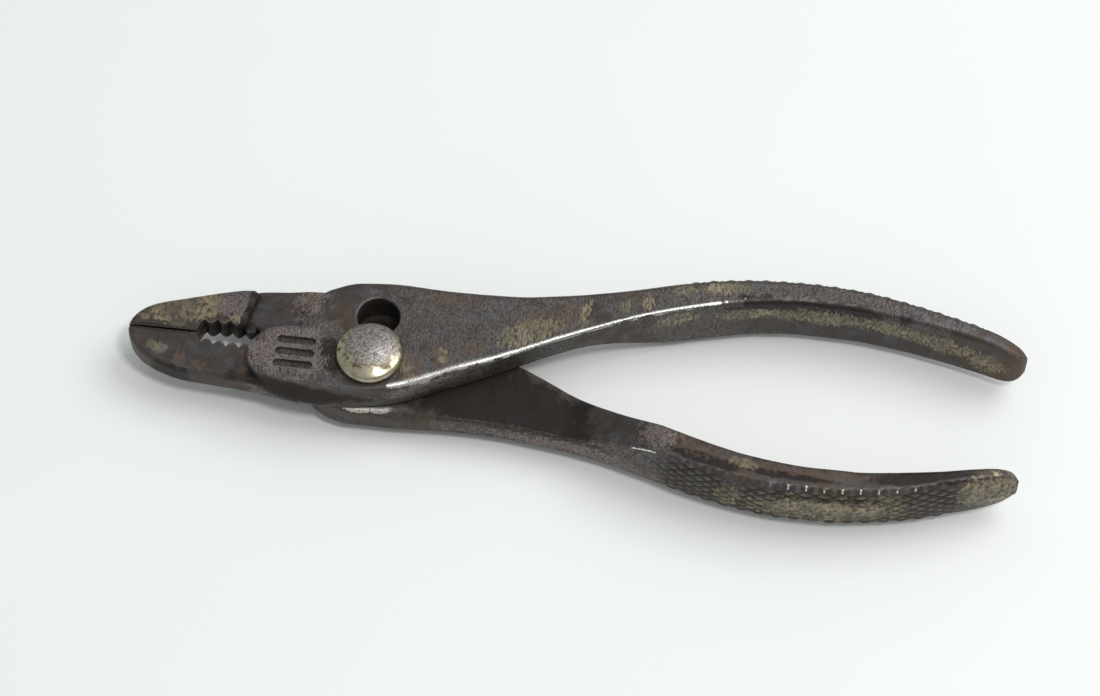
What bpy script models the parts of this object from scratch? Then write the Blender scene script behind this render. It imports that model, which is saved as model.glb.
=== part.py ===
"""Thin-nose slip-joint pliers, 6 inch.

Two forged halves cross at a half-lap joint. One bolt holds them together. The bolt runs in a
figure-eight slot in the front half, so that the jaws have a narrow and a wide setting, and the
rear half turns on the bolt. A thin round nut on the back keeps the bolt in.

Frame: +X along the tool towards the handles, +Y across it, +Z up out of the bolt's head. The
bolt's axis in the narrow setting is x = y = 0, and z = 0 is the outer face of the nut.
Sizes below are in millimetres, and meshes are made in metres.
"""

from math import acos, asin, cos, pi, radians, sin, sqrt, tau

import bmesh
import bpy
from mathutils import Vector

MM = 0.001

# The stack at the joint, from the nut up.
GAP = 0.3
NUT_THICKNESS = 1.9
PLATE_THICKNESS = 5.1
REAR_PLATE_Z = (NUT_THICKNESS + GAP, NUT_THICKNESS + GAP + PLATE_THICKNESS)
FRONT_PLATE_Z = (REAR_PLATE_Z[1] + GAP, REAR_PLATE_Z[1] + GAP + PLATE_THICKNESS)
LAP_Z = (REAR_PLATE_Z[1] + FRONT_PLATE_Z[0]) / 2

# Lengths along the tool.
NOSE_X = -42.0
GRIP_X = (-30.6, -19.8)
LOWER_JAW_END_X = -11.6
UPPER_JAW_END_X = -20.7
FRONT_END_X = 110.0
REAR_END_X = 109.5

# The jaws.
JAW_HALF_DEPTH = 2.3
NOSE_ROUNDING = 1.6
NOSE_BLUNT = 0.25
NOSE_THIN = 0.45
JAW_BLEND_X = (-29.0, -21.5)
PARTING_Y = 2.9
JAW_CORNER = 1.1
BITE_CORNER = 0.15

# The pipe grip: an arch in each jaw with teeth at one pitch.
TOOTH_PITCH = 2.2
TOOTH_DEPTH = 0.85
FIRST_VALLEY_X = -29.35
UPPER_ARCH_Y = (4.55, 4.95)
LOWER_ARCH_Y = (1.95, 1.4)
ARCH_RISE = 0.45
TOOTH_ROUNDNESS = 0.8
GRIP_MOUTH = 0.9

# The arms go from half the joint's depth to the handles' depth between these stations.
RAMP_X = (33.0, 52.0)
HANDLE_HALF_DEPTH = 5.7
HANDLE_TAPER_X = 88.0
FRONT_END = (FRONT_END_X, 8.0)
REAR_END = (REAR_END_X, 4.5)
BLUNT_END = 1.2
PLATE_CORNER = 0.9
LAP_CORNER = 0.25
HANDLE_CORNER = 1.1
HANDLE_CROWN = 0.7

# The bolt, its slot and its hole.
HOLE_RADIUS = 3.6
RUNNING_CLEARANCE = 0.2
SLOT_END = (0.35, 7.66)
SLOT_NECK_HALF_WIDTH = 2.6
HEAD_RADIUS = 5.7
HEAD_HEIGHT = 2.6
HEAD_CURVE = 11.1
HEAD_SHOULDER = 1.0
HEAD_UNDERCUT = 0.15
DOME_STEPS = 6
SHOULDER_STEPS = 4
SHANK_RADIUS = 3.3
THREAD_RADIUS = 2.8
NUT_RADIUS = 5.2
NUT_HOLE_RADIUS = 3.0
NUT_CHAMFER = 0.35

# Three plain slots pressed into the pad on the front half, instead of a maker's device.
PRESSED_SLOT_CENTRE = (-12.7, -0.8)
PRESSED_SLOT_SIZE = (6.6, 1.3)
PRESSED_SLOT_SPACING = 2.3
PRESSED_SLOT_DEPTH = 0.6

# How finely the surfaces are cut, and how far cutters and joined pieces reach past a face.
WELD = 0.004
ARC_STEPS = 2
ROUND_SIDES = 48
SMALL_ARC_STEPS = 8
CORNER_LIMIT = 0.95
BEYOND = 6.0
SUNK = 0.2

# Where the rings of each loft stand: (x, step to the next stop).
FRONT_ARM_STOPS = [
    (-20.5, 0.3), (-19.9, 0.7), (-12.4, 0.28), (-11.0, 0.8), (-5.0, 2.5), (33.0, 2.0),
    (54.0, 3.5), (104.0, 1.5), (108.5, 0.5), (FRONT_END_X, 1.0),
]
LOWER_JAW_STOPS = [
    (NOSE_X, 0.4), (-40.4, 1.5), (GRIP_X[0], 0.275), (GRIP_X[1], 1.4), (LOWER_JAW_END_X, 1.0),
]
REAR_ARM_STOPS = [
    (-30.0, 1.5), (-12.0, 1.5), (-3.0, 3.0), (33.0, 2.0), (54.0, 3.5), (104.0, 1.5),
    (108.0, 0.5), (REAR_END_X, 1.0),
]
UPPER_JAW_STOPS = [(NOSE_X, 0.4), (-40.4, 1.5), (GRIP_X[0], 0.275), (UPPER_JAW_END_X, 1.0)]

# Each metal's colour and roughness.
STEELS = {
    "front_steel": ((0.19, 0.175, 0.165), 0.42),
    "rear_steel": ((0.15, 0.125, 0.115), 0.45),
    "bolt_nickel": ((0.42, 0.38, 0.31), 0.35),
    "nut_steel": ((0.16, 0.14, 0.13), 0.5),
}

# Outlines seen from above: few points, joined by smooth curves.
FRONT_OUTER = [
    (-20.5, 0.0), (-20.2, 0.9), (-19.4, 2.2), (-17.7, 3.6), (-15.2, 4.3), (-12.4, 4.7),
    (-11.6, 5.6), (-11.3, 8.4), (-10.2, 10.8), (-7.8, 12.6), (-3.5, 14.2), (3.4, 14.7),
    (12.0, 14.4), (22.0, 14.6), (30.0, 15.6), (40.0, 17.8), (50.0, 20.8), (58.0, 22.6),
    (65.0, 23.4), (72.0, 23.7), (80.0, 23.3), (88.0, 22.0), (96.0, 20.1), (103.0, 18.1),
    (107.0, 16.7), (109.0, 15.8), (110.0, 15.0),
]
FRONT_INNER = [
    (-20.5, -2.4), (-20.2, -3.5), (-18.2, -5.5), (-15.5, -6.9), (-12.0, -7.6), (-8.4, -7.9),
    (-4.0, -7.7), (1.0, -7.0), (5.3, -5.9), (10.0, -3.8), (15.2, -1.3), (20.0, 1.0),
    (24.6, 3.5), (30.0, 6.3), (37.5, 9.8), (44.0, 12.5), (52.0, 15.1), (58.0, 16.6),
    (65.0, 18.0), (72.0, 18.6), (79.0, 18.5), (88.0, 17.6), (96.0, 16.1), (103.0, 14.4),
    (108.3, 12.9), (109.2, 13.1), (110.0, 13.9),
]
REAR_INNER = [
    (-30.0, 8.8), (-25.4, 10.8), (-21.2, 13.3), (-16.2, 13.9), (-12.0, 14.5), (-8.0, 14.6),
    (-4.0, 14.0), (2.0, 12.3), (8.0, 10.2), (16.0, 7.1), (24.6, 4.0), (29.6, 1.7),
    (34.0, -0.5), (40.0, -3.4), (45.2, -5.7), (50.0, -7.3), (54.0, -8.6), (59.0, -10.0),
    (64.2, -11.2), (70.6, -12.1), (76.0, -12.4), (82.0, -12.4), (88.4, -11.8), (96.0, -10.7),
    (102.0, -9.5), (106.0, -8.6), (108.2, -8.3), (109.5, -9.0),
]
REAR_OUTER = [
    (-30.0, 7.8), (-25.4, 7.6), (-22.4, 7.3), (-20.5, 5.9), (-17.0, 3.7), (-13.5, 0.4),
    (-10.9, -3.5), (-9.3, -5.7), (-6.2, -7.5), (-2.8, -8.2), (3.5, -8.2), (10.9, -7.9),
    (17.5, -7.7), (23.8, -8.0), (29.4, -8.6), (35.0, -9.4), (40.7, -10.7), (47.1, -12.7),
    (55.0, -15.1), (63.9, -17.0), (71.0, -17.8), (78.0, -17.8), (84.5, -17.2), (92.0, -15.8),
    (99.6, -13.5), (104.7, -11.9), (108.2, -10.7), (109.5, -10.0),
]
LOWER_JAW_OUTER = [
    (-42.0, 2.2), (-41.6, 0.9), (-40.7, -0.5), (-38.7, -2.3), (-35.5, -3.8), (-31.5, -4.8),
    (-27.7, -5.1), (-22.4, -5.5), (-16.0, -6.3), (-11.6, -7.0),
]
LOWER_JAW_ROOT = [(-19.8, 2.3), (-17.4, 2.6), (-13.5, -0.6), (-11.6, -2.8)]
UPPER_JAW_OUTER = [
    (-42.0, 3.6), (-41.6, 4.8), (-40.7, 6.1), (-39.3, 7.3), (-37.5, 8.2), (-33.4, 9.5),
    (-29.8, 10.6), (-25.4, 11.9), (-23.0, 12.4), (-20.6, 12.5),
]

# The upper jaw's face stops at this line, clear of the front half's swing. Beyond it is the neck.
STEP_LINE = ((-21.3, 14.0), (-23.3, 3.5))


def clear_scene():
    for thing in list(bpy.data.objects):
        bpy.data.objects.remove(thing, do_unlink=True)


def curve_through(points):
    """A smooth curve y(x) through points in order of x, without overshoot."""
    rises = [(b[1] - a[1]) / (b[0] - a[0]) for a, b in zip(points, points[1:])]
    slopes = [rises[0]]
    for before, after in zip(rises, rises[1:]):
        turning = before * after <= 0
        slopes.append(0.0 if turning else 2 * before * after / (before + after))
    slopes.append(rises[-1])

    def at(x):
        i = 0
        while i < len(points) - 2 and x > points[i + 1][0]:
            i += 1
        (xa, ya), (xb, yb) = points[i], points[i + 1]
        span = xb - xa
        t = min(max((x - xa) / span, 0.0), 1.0)
        start = (1 + 2 * t) * (1 - t) ** 2 * ya + t * (1 - t) ** 2 * span * slopes[i]
        end = t * t * (3 - 2 * t) * yb + t * t * (t - 1) * span * slopes[i + 1]
        return start + end

    return at


def ramp(x, start, end):
    """0 before start, 1 after end, and smooth between them."""
    t = min(max((x - start) / (end - start), 0.0), 1.0)
    return t * t * (3 - 2 * t)


def stations(*stops):
    """x values from stop to stop: each stop is (x, step to the next stop)."""
    out = []
    for (x, step), (x_next, _) in zip(stops, stops[1:]):
        count = max(1, round((x_next - x) / step))
        out += [x + (x_next - x) * i / count for i in range(count)]
    return out + [stops[-1][0]]


def tooth_height(x):
    """0 at the bottom of a tooth space and 1 at a tooth's rounded tip."""
    return abs(sin(pi * (x - FIRST_VALLEY_X) / TOOTH_PITCH)) ** TOOTH_ROUNDNESS


def bite_y(x, side):
    """The jaw's inner face: flat at the nose, then the toothed arch. side is 1 above."""
    flat = PARTING_Y + side * GAP / 2
    edge, middle = UPPER_ARCH_Y if side > 0 else LOWER_ARCH_Y
    if x < GRIP_X[0]:
        return flat
    along = (x - GRIP_X[0]) / (GRIP_X[1] - GRIP_X[0])
    tips = edge + (middle - edge) * min(1.0, along / ARCH_RISE)
    opening = ramp(x, GRIP_X[0], GRIP_X[0] + GRIP_MOUTH)
    return flat + (tips + side * TOOTH_DEPTH * (1 - tooth_height(x)) - flat) * opening


def rounded_section(x, y_range, z_range, corners, crown=(0.0, 0.0)):
    """A closed ring of points at x. corners are the radii at -y-z, +y-z, +y+z and -y+z.

    crown is how far the -y and +y faces swell between their corners.
    """
    y_mid = sum(y_range) / 2
    z_mid = sum(z_range) / 2
    half_y = (y_range[1] - y_range[0]) / 2
    half_z = (z_range[1] - z_range[0]) / 2
    ring = []
    for turn, radius in enumerate(corners):
        sign_y = 1 if turn in (1, 2) else -1
        sign_z = 1 if turn in (2, 3) else -1
        swell = crown[0] if sign_y < 0 else crown[1]
        face_y = half_y - swell
        r = min(radius, CORNER_LIMIT * face_y, CORNER_LIMIT * half_z)
        for step in range(ARC_STEPS + 1):
            angle = pi + turn * pi / 2 + step * pi / 2 / ARC_STEPS
            y = y_mid + sign_y * (face_y - r) + r * cos(angle)
            z = z_mid + sign_z * (half_z - r) + r * sin(angle)
            ring.append(Vector((x, y, z)))
        if turn in (1, 3):
            ring.append(Vector((x, y_mid + sign_y * half_y, z_mid)))
    return ring


def loft(name, rings):
    """A closed body through rings of equal length."""
    bm = bmesh.new()
    loops = [[bm.verts.new(point * MM) for point in ring] for ring in rings]
    count = len(loops[0])
    for here, there in zip(loops, loops[1:]):
        for i in range(count):
            j = (i + 1) % count
            bm.faces.new((here[i], here[j], there[j], there[i]))
    bm.faces.new(loops[0])
    bm.faces.new(loops[-1])
    bmesh.ops.recalc_face_normals(bm, faces=bm.faces)
    return link(name, bm)


def prism(name, outline, z_range):
    """An outline seen from above, pulled up from z_range[0] to z_range[1]."""
    rings = [[Vector((x, y, z)) for x, y in outline] for z in z_range]
    return loft(name, rings)


def turned(name, profile):
    """A solid of revolution about the bolt's axis. profile is (radius, z) from the base up."""
    rings = []
    for radius, z in profile:
        angles = [tau * i / ROUND_SIDES for i in range(ROUND_SIDES)]
        rings.append([Vector((radius * cos(a), radius * sin(a), z)) for a in angles])
    return loft(name, rings)


def link(name, bm):
    mesh = bpy.data.meshes.new(name)
    bm.to_mesh(mesh)
    bm.free()
    thing = bpy.data.objects.new(name, mesh)
    bpy.context.scene.collection.objects.link(thing)
    return thing


def combine(thing, other, operation):
    """Apply a Boolean with other, which is used up."""
    step = thing.modifiers.new(operation.lower(), "BOOLEAN")
    step.operation = operation
    step.object = other
    step.solver = "EXACT"
    bpy.context.view_layer.update()
    depsgraph = bpy.context.evaluated_depsgraph_get()
    result = bpy.data.meshes.new_from_object(thing.evaluated_get(depsgraph))
    thing.modifiers.clear()
    thing.data = result
    bpy.data.objects.remove(other, do_unlink=True)
    weld(thing)


def weld(thing):
    """Merge the needle-thin faces that a Boolean leaves where two surfaces cross."""
    bm = bmesh.new()
    bm.from_mesh(thing.data)
    bmesh.ops.triangulate(bm, faces=bm.faces)
    bmesh.ops.remove_doubles(bm, verts=bm.verts, dist=WELD * MM)
    bmesh.ops.dissolve_degenerate(bm, edges=bm.edges, dist=WELD * MM)
    bm.to_mesh(thing.data)
    bm.free()


def shade(thing, angle=35.0):
    thing.data.shade_smooth()
    thing.data.set_sharp_from_angle(angle=radians(angle))


def steel(name):
    """A worn metal with one colour."""
    colour, roughness = STEELS[name]
    material = bpy.data.materials.new(name)
    material.use_nodes = True
    surface = material.node_tree.nodes["Principled BSDF"]
    surface.inputs["Base Color"].default_value = (*colour, 1.0)
    surface.inputs["Roughness"].default_value = roughness
    surface.inputs["Metallic"].default_value = 1.0
    return material


def handle_z_half(x, end_x, power):
    """Half the handle's depth: full along the grip, rounded off at its end."""
    t = max(0.0, (x - HANDLE_TAPER_X) / (end_x + BLUNT_END - HANDLE_TAPER_X))
    return HANDLE_HALF_DEPTH * sqrt(1 - t**power)


def arm_section(x, y_inner, y_outer, plate_z, outer_up):
    """One ring of an arm. The lap face stays flat until the ramp, and the far face is plain."""
    grow = ramp(x, *RAMP_X)
    half = handle_z_half(x, *(FRONT_END if outer_up else REAR_END))
    z_low = plate_z[0] + (LAP_Z - half - plate_z[0]) * grow
    z_high = plate_z[1] + (LAP_Z + half - plate_z[1]) * grow
    lap_corner = LAP_CORNER + (HANDLE_CORNER - LAP_CORNER) * grow
    far_corner = PLATE_CORNER + (HANDLE_CORNER - PLATE_CORNER) * grow
    lap_below = plate_z is FRONT_PLATE_Z
    low, high = (lap_corner, far_corner) if lap_below else (far_corner, lap_corner)
    swell = HANDLE_CROWN * grow
    y_range = (y_inner, y_outer) if outer_up else (y_outer, y_inner)
    crown = (0.0, swell) if outer_up else (swell, 0.0)
    return rounded_section(x, y_range, (z_low, z_high), (low, low, high, high), crown)


def jaw_section(x, y_range, bite_up):
    """One ring of a jaw, rounded on the outside and at the nose, sharp along the bite."""
    into_nose = min(1.0, (x - NOSE_X + NOSE_BLUNT) / NOSE_ROUNDING)
    half = JAW_HALF_DEPTH * (NOSE_THIN + (1 - NOSE_THIN) * sqrt(1 - (1 - into_nose) ** 2))
    bite, outside = BITE_CORNER, JAW_CORNER
    corners = (outside, bite, bite, outside) if bite_up else (bite, outside, outside, bite)
    return rounded_section(x, y_range, (LAP_Z - half, LAP_Z + half), corners)


def slot_outline():
    """The figure-eight slot: two round holes joined by a straight neck."""
    end = Vector(SLOT_END)
    along = end.normalized()
    across = Vector((-along.y, along.x))
    corner = sqrt(HOLE_RADIUS**2 - SLOT_NECK_HALF_WIDTH**2)
    lean = pi / 2 - Vector((SLOT_NECK_HALF_WIDTH, corner)).angle(Vector((1, 0)))
    sweep = tau - 2 * lean
    points = []
    for centre, facing in ((Vector((0, 0)), 1), (end, -1)):
        for i in range(ROUND_SIDES + 1):
            angle = lean + sweep * i / ROUND_SIDES
            offset = across * sin(angle) + along * cos(angle)
            points.append(centre + facing * HOLE_RADIUS * offset)
    return [(p.x, p.y) for p in points]


def circle_outline(radius):
    angles = [tau * i / ROUND_SIDES for i in range(ROUND_SIDES)]
    return [(radius * cos(a), radius * sin(a)) for a in angles]


def stadium_outline(centre, size):
    """A slot with round ends, its length along X."""
    radius = size[1] / 2
    reach = size[0] / 2 - radius
    points = []
    for side, start in ((1, -pi / 2), (-1, pi / 2)):
        for i in range(SMALL_ARC_STEPS + 1):
            angle = start + pi * i / SMALL_ARC_STEPS
            x = centre[0] + side * reach + radius * cos(angle)
            points.append((x, centre[1] + radius * sin(angle)))
    return points


def make_front_half():
    outer, inner = curve_through(FRONT_OUTER), curve_through(FRONT_INNER)
    xs = stations(*FRONT_ARM_STOPS)
    rings = [arm_section(x, inner(x), outer(x), FRONT_PLATE_Z, True) for x in xs]
    half = loft("front_half", rings)

    jaw_outer, jaw_root = curve_through(LOWER_JAW_OUTER), curve_through(LOWER_JAW_ROOT)
    rings = []
    for x in stations(*LOWER_JAW_STOPS):
        top = bite_y(x, -1) if x < GRIP_X[1] else jaw_root(x)
        rings.append(jaw_section(x, (jaw_outer(x), top), True))
    combine(half, loft("jaw", rings), "UNION")

    through = (FRONT_PLATE_Z[0] - BEYOND, FRONT_PLATE_Z[1] + BEYOND)
    combine(half, prism("slot", slot_outline(), through), "DIFFERENCE")
    pressed = (FRONT_PLATE_Z[1] - PRESSED_SLOT_DEPTH, FRONT_PLATE_Z[1] + BEYOND)
    for row in (-1, 0, 1):
        centre = (PRESSED_SLOT_CENTRE[0], PRESSED_SLOT_CENTRE[1] + row * PRESSED_SLOT_SPACING)
        cutter = prism("pressed_slot", stadium_outline(centre, PRESSED_SLOT_SIZE), pressed)
        combine(half, cutter, "DIFFERENCE")
    half.data.materials.append(steel("front_steel"))
    shade(half)
    return half


def make_rear_half():
    outer, inner = curve_through(REAR_OUTER), curve_through(REAR_INNER)
    rings = []
    for x in stations(*REAR_ARM_STOPS):
        ring = arm_section(x, inner(x), outer(x), REAR_PLATE_Z, False)
        lift = (1 - ramp(x, *JAW_BLEND_X)) * (LAP_Z - JAW_HALF_DEPTH + GAP - REAR_PLATE_Z[0])
        squeeze = 1 - lift / PLATE_THICKNESS
        for point in ring:
            point.z = REAR_PLATE_Z[1] - (REAR_PLATE_Z[1] - point.z) * squeeze
        rings.append(ring)
    half = loft("rear_half", rings)

    jaw_outer = curve_through(UPPER_JAW_OUTER)
    xs = stations(*UPPER_JAW_STOPS)
    rings = [jaw_section(x, (bite_y(x, 1), jaw_outer(x)), False) for x in xs]
    jaw = loft("jaw", rings)
    (top_x, top_y), (low_x, low_y) = STEP_LINE
    step = [(top_x, top_y), (low_x, low_y), (top_x + BEYOND, low_y), (top_x + BEYOND, top_y)]
    combine(jaw, prism("step", step, (REAR_PLATE_Z[1] - GAP / 2, LAP_Z + BEYOND)), "DIFFERENCE")
    combine(half, jaw, "UNION")

    through = (REAR_PLATE_Z[0] - BEYOND, REAR_PLATE_Z[1] + BEYOND)
    combine(half, prism("hole", circle_outline(HOLE_RADIUS), through), "DIFFERENCE")
    half.data.materials.append(steel("rear_steel"))
    shade(half)
    return half


def shank_outline():
    """The bolt's shank where it crosses the slot: round, with two flats along the slot."""
    flat = SLOT_NECK_HALF_WIDTH - RUNNING_CLEARANCE
    along = Vector(SLOT_END).normalized()
    across = Vector((along.y, -along.x))
    reach = acos(flat / SHANK_RADIUS)
    points = []
    for side in (1, -1):
        for i in range(ROUND_SIDES // 2 + 1):
            angle = reach + (pi - 2 * reach) * i / (ROUND_SIDES // 2)
            offset = across * cos(angle) + along * sin(angle)
            points.append(side * SHANK_RADIUS * offset)
    return [(p.x, p.y) for p in points]


def head_profile(base):
    """The bolt's head as (radius, z): an undercut, a round shoulder and a shallow dome."""
    centre_z = base + HEAD_HEIGHT - HEAD_CURVE
    shoulder_r = HEAD_RADIUS - HEAD_SHOULDER
    lean = asin(shoulder_r / (HEAD_CURVE - HEAD_SHOULDER))
    shoulder_z = centre_z + (HEAD_CURVE - HEAD_SHOULDER) * cos(lean)
    profile = [(HEAD_RADIUS - HEAD_UNDERCUT, base), (HEAD_RADIUS, base + HEAD_UNDERCUT)]
    for step in range(SHOULDER_STEPS + 1):
        angle = (pi / 2 - lean) * step / SHOULDER_STEPS
        r = shoulder_r + HEAD_SHOULDER * cos(angle)
        profile.append((r, shoulder_z + HEAD_SHOULDER * sin(angle)))
    for step in range(1, DOME_STEPS):
        angle = lean * (1 - step / DOME_STEPS)
        profile.append((HEAD_CURVE * sin(angle), centre_z + HEAD_CURVE * cos(angle)))
    return profile


def make_pivot_bolt():
    base = FRONT_PLATE_Z[1] + GAP
    bolt = turned("pivot_bolt", head_profile(base))
    shank = prism("shank", shank_outline(), (LAP_Z - SUNK, base + SUNK))
    combine(bolt, shank, "UNION")
    journal_radius = HOLE_RADIUS - RUNNING_CLEARANCE
    journal = [
        (THREAD_RADIUS, 0.0), (THREAD_RADIUS, REAR_PLATE_Z[0]),
        (journal_radius, REAR_PLATE_Z[0] + SUNK), (journal_radius, LAP_Z),
    ]
    combine(bolt, turned("journal", journal), "UNION")
    bolt.data.materials.append(steel("bolt_nickel"))
    shade(bolt)
    return bolt


def make_pivot_nut():
    outside = [
        (NUT_HOLE_RADIUS, 0.0), (NUT_RADIUS - NUT_CHAMFER, 0.0), (NUT_RADIUS, NUT_CHAMFER),
        (NUT_RADIUS, NUT_THICKNESS), (NUT_HOLE_RADIUS, NUT_THICKNESS),
    ]
    bm = bmesh.new()
    rings = []
    for i in range(ROUND_SIDES):
        angle = tau * i / ROUND_SIDES
        across = Vector((cos(angle), sin(angle), 0))
        rings.append([bm.verts.new((across * r + Vector((0, 0, z))) * MM) for r, z in outside])
    for here, there in zip(rings, rings[1:] + rings[:1]):
        for i in range(len(outside)):
            j = (i + 1) % len(outside)
            bm.faces.new((here[i], here[j], there[j], there[i]))
    bmesh.ops.recalc_face_normals(bm, faces=bm.faces)
    nut = link("pivot_nut", bm)
    nut.data.materials.append(steel("nut_steel"))
    shade(nut)
    return nut


def main():
    clear_scene()
    make_front_half()
    make_rear_half()
    make_pivot_bolt()
    make_pivot_nut()


main()
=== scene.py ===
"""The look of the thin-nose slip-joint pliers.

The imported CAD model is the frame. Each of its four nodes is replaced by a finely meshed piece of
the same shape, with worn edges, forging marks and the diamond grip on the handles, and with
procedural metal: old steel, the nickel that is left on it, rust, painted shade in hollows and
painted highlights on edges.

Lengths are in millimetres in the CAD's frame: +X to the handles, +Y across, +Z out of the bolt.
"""

from math import acos, asin, cos, pi, radians, sin, sqrt, tau

import bmesh
import bpy
import numpy as np
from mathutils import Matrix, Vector, noise


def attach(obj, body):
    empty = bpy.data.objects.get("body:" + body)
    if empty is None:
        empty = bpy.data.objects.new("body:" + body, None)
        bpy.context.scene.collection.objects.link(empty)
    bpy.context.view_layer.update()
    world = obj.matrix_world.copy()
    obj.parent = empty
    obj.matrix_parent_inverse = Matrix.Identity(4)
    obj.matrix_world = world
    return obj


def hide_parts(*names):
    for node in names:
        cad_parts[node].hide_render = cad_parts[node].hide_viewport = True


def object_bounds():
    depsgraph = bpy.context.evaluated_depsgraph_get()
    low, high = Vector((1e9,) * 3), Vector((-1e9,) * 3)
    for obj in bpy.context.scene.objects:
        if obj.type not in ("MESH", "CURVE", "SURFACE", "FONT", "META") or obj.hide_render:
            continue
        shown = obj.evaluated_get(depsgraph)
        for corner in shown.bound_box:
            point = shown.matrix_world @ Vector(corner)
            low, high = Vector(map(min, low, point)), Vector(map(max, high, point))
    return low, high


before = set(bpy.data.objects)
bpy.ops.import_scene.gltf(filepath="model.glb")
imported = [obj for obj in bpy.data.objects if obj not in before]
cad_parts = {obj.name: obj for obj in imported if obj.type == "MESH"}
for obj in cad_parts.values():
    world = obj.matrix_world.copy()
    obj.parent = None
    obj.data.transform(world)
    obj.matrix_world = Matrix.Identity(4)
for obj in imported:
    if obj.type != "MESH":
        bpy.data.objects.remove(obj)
CAD_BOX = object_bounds()
MM = 0.001

# The stack at the joint, from the nut up, with the half lap's middle.
GAP = 0.3
NUT_THICKNESS = 1.9
PLATE_THICKNESS = 5.1
REAR_PLATE_Z = (NUT_THICKNESS + GAP, NUT_THICKNESS + GAP + PLATE_THICKNESS)
FRONT_PLATE_Z = (REAR_PLATE_Z[1] + GAP, REAR_PLATE_Z[1] + GAP + PLATE_THICKNESS)
LAP_Z = (REAR_PLATE_Z[1] + FRONT_PLATE_Z[0]) / 2
HEAD_BASE_Z = FRONT_PLATE_Z[1] + GAP

# The jaws and their pipe grip. The nose is rounded over NOSE_ROUNDING, of which NOSE_BLUNT is cut
# off at its tip, and NOSE_TIP_DEPTH is a share of the jaw's depth.
NOSE_X = -42.0
GRIP_X = (-30.6, -19.8)
LOWER_JAW_END_X = -11.6
JAW_HALF_DEPTH = 2.3
NOSE_ROUNDING = 1.6
NOSE_BLUNT = 0.25
NOSE_TIP_DEPTH = 0.45
PARTING_Y = 2.9
JAW_CORNER = 1.1
BITE_CORNER = 0.15
TOOTH_PITCH = 2.2
TOOTH_DEPTH = 0.85
TOOTH_POWER = 0.8
FIRST_VALLEY_X = -29.35

# The toothed arches' heights at the edge and in the middle, how many times as fast as x crosses
# the grip they reach the middle's, and how far it takes them to open from the flat bite.
UPPER_ARCH_Y = (4.55, 4.95)
LOWER_ARCH_Y = (1.95, 1.4)
ARCH_PACE = 2.2
GRIP_MOUTH = 0.9

# The arms and handles.
FRONT_END_X = 110.0
REAR_END_X = 109.5
RAMP_X = (33.0, 52.0)
HANDLE_HALF_DEPTH = 5.7
HANDLE_TAPER_X = 88.0
BLUNT_END = 0.35
END_POWERS = {"front": 8.0, "rear": 7.0}
PLATE_CORNER = 0.9
LAP_CORNER = 0.25
HANDLE_CORNER = 1.1
HANDLE_CROWN = 0.7
# No corner's radius is a larger share than this of the half width or depth that it lies in.
CORNER_LIMIT = 0.95

# The bolt, its slot and its hole, and the nut.
HOLE_RADIUS = 3.6
RUNNING_CLEARANCE = 0.2
SLOT_END = (0.35, 7.66)
SLOT_NECK_HALF_WIDTH = 2.6
SLOT_RIM = 0.35
HEAD_RADIUS = 5.7
HEAD_HEIGHT = 2.6
HEAD_CURVE = 11.1
HEAD_SHOULDER = 1.0
HEAD_UNDERCUT = 0.15
SHANK_RADIUS = 3.3
THREAD_RADIUS = 2.8
THREAD_CHAMFER = 0.3
NUT_RADIUS = 5.2
NUT_HOLE_RADIUS = 3.0
NUT_EDGE = 0.4

# Three plain slots pressed into the pad.
PRESSED_SLOT_CENTRE = (-12.7, -0.8)
PRESSED_SLOT_SIZE = (6.6, 1.3)
PRESSED_SLOT_SPACING = 2.3
PRESSED_SLOT_DEPTH = 0.6
PRESSED_SLOT_RIM = 0.15

# The diamond grip on the handles' outer faces, and the plain raised panel in it.
KNURL_X = {"front": (51.5, 103.0), "rear": (51.0, 99.6)}
KNURL_PITCH = (2.97, 1.65)
KNURL_HEIGHT = (-0.17, 0.17)
# The diamonds' flanks are this much steeper than their pitch asks, so that they end in small flats.
KNURL_STEEPNESS = 1.15
KNURL_FLAT = 0.92
KNURL_POWER = 0.8
# How far the grip takes to come up at its front end and to go down at its back end.
KNURL_FADE = (0.5, 0.4)
# It is on surfaces that face outward: not below the first share, and fully above the second.
KNURL_FACING = (0.15, 0.8)
PANEL_X = (68.5, 88.5)
PANEL_HALF_HEIGHT = 3.1
# Across the panel's outline, inward: the ditch round it, its edge, and its rim's rise and fall.
DITCH_WIDTH = 0.35
PANEL_EDGE = (-0.2, 0.1)
RIM_RISE = (0.0, 0.2)
RIM_FALL = (0.55, 0.8)
RIM_HEIGHT = 0.16

# Where the first of the painted highlights on the grip's worn tips stands along the rear handle's
# upper edge, and their width.
GLINT_X = 71.7
GLINT_WIDTH = 0.45

# Forging marks: how large waves, dents and pits are, and where their noises are taken. A pit starts
# where its noise passes PIT_LEVEL, and PIT_DEPTH is in depths of a dent.
WAVE_SIZE = 7.0
DENT_SIZE = 1.6
DENT_OFFSET = Vector((31.0, 7.0, 3.0))
PIT_SIZE = 0.9
PIT_OFFSET = Vector((5.0, 50.0, 9.0))
PIT_LEVEL = 0.3
PIT_DEPTH = 3.0
# How deep the waves and dents are.
HALF_MARKS = (0.05, 0.02)
BOLT_MARKS = (0.03, 0.008)
NUT_MARKS = (0.03, 0.01)

# How the sharpness of edges is measured: the shortest edge that counts, the most it can be, and
# how many times it is averaged with what is next to it.
SHORTEST_EDGE = 0.01
BEND_LIMIT = 3.0
BEND_PASSES = 3

# How finely surfaces are cut: round ones, and the -Z, +Y, +Z and -Y sides of the arms and jaws.
ARC_STEPS = 6
DOME_STEPS = 40
ROUND_SIDES = 128
ARM_CUTS = {"front": (14, 48, 30, 18), "rear": (14, 18, 30, 48)}
JAW_CUTS = (16, 12, 16, 12)

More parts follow.
